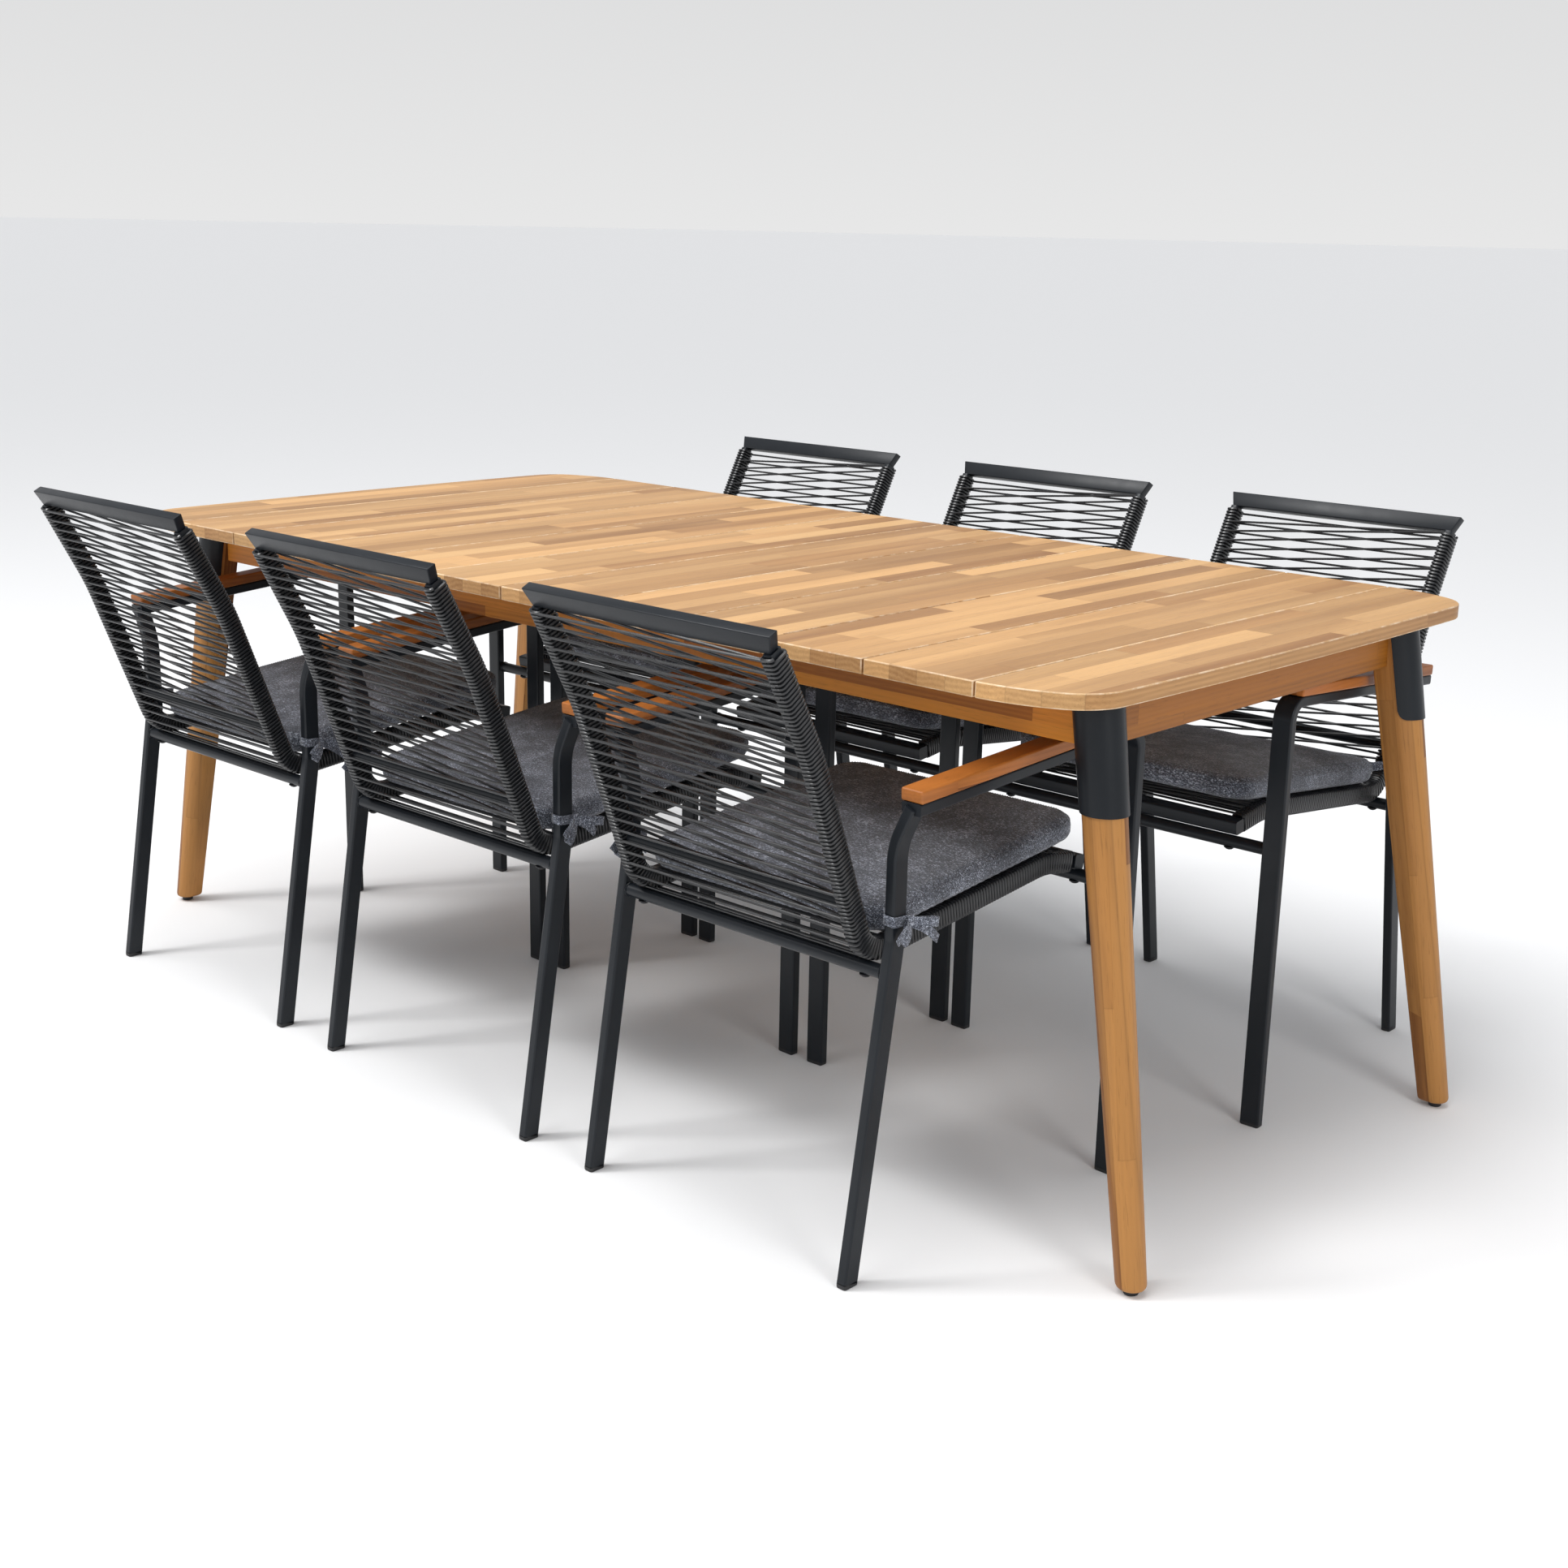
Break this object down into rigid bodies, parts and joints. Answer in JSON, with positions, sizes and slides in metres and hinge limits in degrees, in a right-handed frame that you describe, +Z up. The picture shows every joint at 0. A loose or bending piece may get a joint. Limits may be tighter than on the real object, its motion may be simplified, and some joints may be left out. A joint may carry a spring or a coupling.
{
  "type": "patio dining set",
  "caption": "Slatted wooden garden table on splayed round legs, with metal-framed armchairs wound with cord and fitted with tied-on seat cushions.",
  "frame": {"origin": "on the floor under the middle of the table top", "axes": "+X along the table's length, +Y across the table to the far row of chairs, +Z up"},
  "size_m": [2.145, 1.5326, 0.8206],
  "materials": {
    "top_wood": "oiled, light honey, dry grain",
    "leg_wood": "oiled, laminated staves with knots",
    "frame_wood": "oiled, warm orange brown",
    "armrest": "oiled, warm brown, paler end grain",
    "frame": "anthracite powder coat, satin",
    "bolt": "black dome heads",
    "plug": "black moulded plastic",
    "cord": "black round plastic cord, slight gloss",
    "cushion": "woven charcoal cloth with light flecks"
  },
  "bodies": {
    "table": {"table_boards": "top_wood", "table_battens": "frame_wood", "table_aprons": "frame_wood", "table_legs": "leg_wood", "leg_sleeves": "frame", "table_glides": "plug"},
    "near_left_chair": {"near_left_left_side": "frame", "near_left_right_side": "frame", "near_left_cross_rails": "frame", "near_left_seat_bolts": "bolt", "near_left_foot_plugs": "plug", "near_left_seat_back_frame": "frame", "near_left_cord_weave": "cord", "near_left_armrests": "armrest", "near_left_seat_cushion": "cushion"},
    "near_middle_chair": {"near_middle_left_side": "frame", "near_middle_right_side": "frame", "near_middle_cross_rails": "frame", "near_middle_seat_bolts": "bolt", "near_middle_foot_plugs": "plug", "near_middle_seat_back_frame": "frame", "near_middle_cord_weave": "cord", "near_middle_armrests": "armrest", "near_middle_seat_cushion": "cushion"},
    "near_right_chair": {"near_right_left_side": "frame", "near_right_right_side": "frame", "near_right_cross_rails": "frame", "near_right_seat_bolts": "bolt", "near_right_foot_plugs": "plug", "near_right_seat_back_frame": "frame", "near_right_cord_weave": "cord", "near_right_armrests": "armrest", "near_right_seat_cushion": "cushion"},
    "far_left_chair": {"far_left_left_side": "frame", "far_left_right_side": "frame", "far_left_cross_rails": "frame", "far_left_seat_bolts": "bolt", "far_left_foot_plugs": "plug", "far_left_seat_back_frame": "frame", "far_left_cord_weave": "cord", "far_left_armrests": "armrest", "far_left_seat_cushion": "cushion"},
    "far_middle_chair": {"far_middle_left_side": "frame", "far_middle_right_side": "frame", "far_middle_cross_rails": "frame", "far_middle_seat_bolts": "bolt", "far_middle_foot_plugs": "plug", "far_middle_seat_back_frame": "frame", "far_middle_cord_weave": "cord", "far_middle_armrests": "armrest", "far_middle_seat_cushion": "cushion"},
    "far_right_chair": {"far_right_left_side": "frame", "far_right_right_side": "frame", "far_right_cross_rails": "frame", "far_right_seat_bolts": "bolt", "far_right_foot_plugs": "plug", "far_right_seat_back_frame": "frame", "far_right_cord_weave": "cord", "far_right_armrests": "armrest", "far_right_seat_cushion": "cushion"}
  },
  "joints": [
    {"name": "near_left_chair_pull", "type": "slide", "parent": "table", "child": "near_left_chair", "axis": [0, -1, 0], "range_m": [-0.1, 0.5]},
    {"name": "near_middle_chair_pull", "type": "slide", "parent": "table", "child": "near_middle_chair", "axis": [0, -1, 0], "range_m": [-0.1, 0.5]},
    {"name": "near_right_chair_pull", "type": "slide", "parent": "table", "child": "near_right_chair", "axis": [0, -1, 0], "range_m": [-0.1, 0.5]},
    {"name": "far_left_chair_pull", "type": "slide", "parent": "table", "child": "far_left_chair", "axis": [0, 1, 0], "range_m": [-0.1, 0.5]},
    {"name": "far_middle_chair_pull", "type": "slide", "parent": "table", "child": "far_middle_chair", "axis": [0, 1, 0], "range_m": [-0.1, 0.5]},
    {"name": "far_right_chair_pull", "type": "slide", "parent": "table", "child": "far_right_chair", "axis": [0, 1, 0], "range_m": [-0.1, 0.5]}
  ]
}
